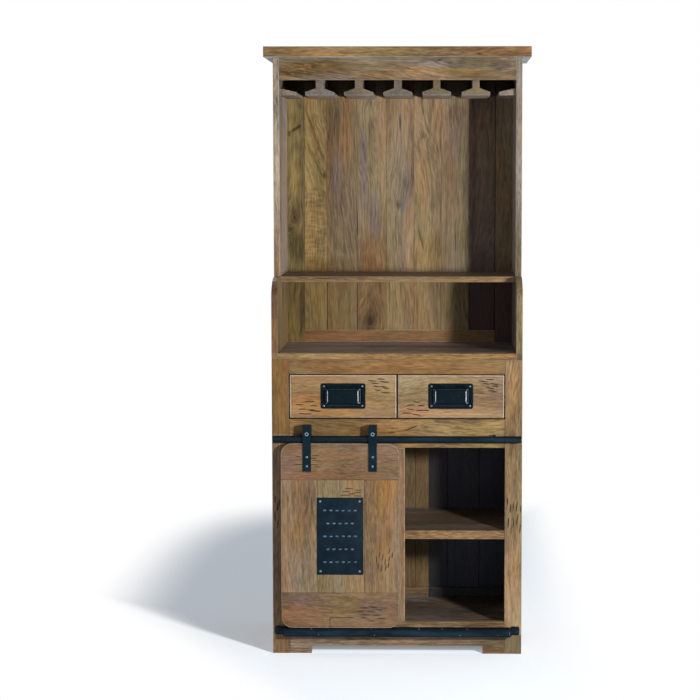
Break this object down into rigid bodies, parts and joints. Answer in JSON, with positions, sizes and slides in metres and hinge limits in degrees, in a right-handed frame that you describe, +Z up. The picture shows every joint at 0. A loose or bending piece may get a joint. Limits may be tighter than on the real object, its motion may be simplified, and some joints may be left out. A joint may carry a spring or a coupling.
{
  "type": "bar cabinet",
  "caption": "Tall wooden bar cabinet with a shallow hutch, hanging glass rack, inset drawers with cup pulls and a sliding barn door on a steel rail",
  "frame": {"origin": "on the floor, in the middle of the whole cabinet's width and depth, steel fittings included", "axes": "+X to the viewer's right, front faces -Y, +Z up"},
  "size_m": [0.792, 0.439, 1.801],
  "materials": {
    "wood_body": "satin",
    "wood_back": "satin",
    "wood_inside": "matte",
    "wood_door": "satin",
    "wood_drawer": "satin",
    "black_steel": "satin",
    "bare_steel": "satin"
  },
  "bodies": {
    "carcass": {"base_side_left": "wood_body", "base_side_right": "wood_body", "stile_left": "wood_body", "stile_right": "wood_body", "stile_centre": "wood_body", "frame_rail_top": "wood_body", "frame_rail_mid": "wood_body", "frame_rail_bottom": "wood_body", "shelf_left": "wood_body", "shelf_right": "wood_body", "counter_board": "wood_body", "hutch_side_left": "wood_body", "hutch_side_right": "wood_body", "hutch_shelf": "wood_body", "fascia_board": "wood_body", "cornice_board": "wood_body", "rack_slat_1": "wood_body", "rack_slat_2": "wood_body", "rack_slat_3": "wood_body", "rack_slat_4": "wood_body", "rack_slat_5": "wood_body", "rack_half_slats": "wood_body", "base_back_panel": "wood_back", "back_floor_strips": "wood_back", "hutch_back_planks": "wood_back", "back_stiles": "wood_back", "back_bottom_rail": "wood_back", "base_floor": "wood_inside", "base_divider": "wood_inside", "drawer_deck": "wood_inside", "drawer_guides": "wood_inside", "rack_board": "wood_inside", "door_rail": "black_steel", "rail_standoffs": "black_steel", "rail_stops": "black_steel", "floor_track": "black_steel", "track_screws": "bare_steel"},
    "door": {"door_board_top": "wood_door", "door_board_bottom": "wood_door", "door_board_left": "wood_door", "door_board_centre": "wood_door", "door_board_right": "wood_door", "sign_plate": "black_steel", "hanger_left": "black_steel", "hanger_right": "black_steel", "guide_pins": "black_steel", "door_screws": "bare_steel", "axle_bolts": "bare_steel"},
    "roller_left": {"roller_left": "bare_steel"},
    "roller_right": {"roller_right": "bare_steel"},
    "drawer_left": {"drawer_left_front": "wood_drawer", "drawer_left_frame": "wood_inside", "drawer_left_bottom": "wood_inside", "drawer_left_pull": "black_steel", "drawer_left_rivets": "bare_steel"},
    "drawer_right": {"drawer_right_front": "wood_drawer", "drawer_right_frame": "wood_inside", "drawer_right_bottom": "wood_inside", "drawer_right_pull": "black_steel", "drawer_right_rivets": "bare_steel"}
  },
  "joints": [
    {"name": "door_slide", "type": "slide", "parent": "carcass", "child": "door", "axis": [1, 0, 0], "range_m": [-0.0088, 0.3438]},
    {"name": "roller_left_spin", "type": "hinge", "parent": "door", "child": "roller_left", "pos_m": [-0.2645, -0.2, 0.664], "axis": [0, 1, 0], "continuous": true},
    {"name": "roller_right_spin", "type": "hinge", "parent": "door", "child": "roller_right", "pos_m": [-0.0705, -0.2, 0.664], "axis": [0, 1, 0], "continuous": true},
    {"name": "drawer_left_slide", "type": "slide", "parent": "carcass", "child": "drawer_left", "axis": [0, -1, 0], "range_m": [0, 0.28]},
    {"name": "drawer_right_slide", "type": "slide", "parent": "carcass", "child": "drawer_right", "axis": [0, -1, 0], "range_m": [0, 0.28]}
  ],
  "couplings": [
    {"joint": "roller_left_spin", "follows": "door_slide", "rad_per_m": 138.89},
    {"joint": "roller_right_spin", "follows": "door_slide", "rad_per_m": 138.89}
  ]
}
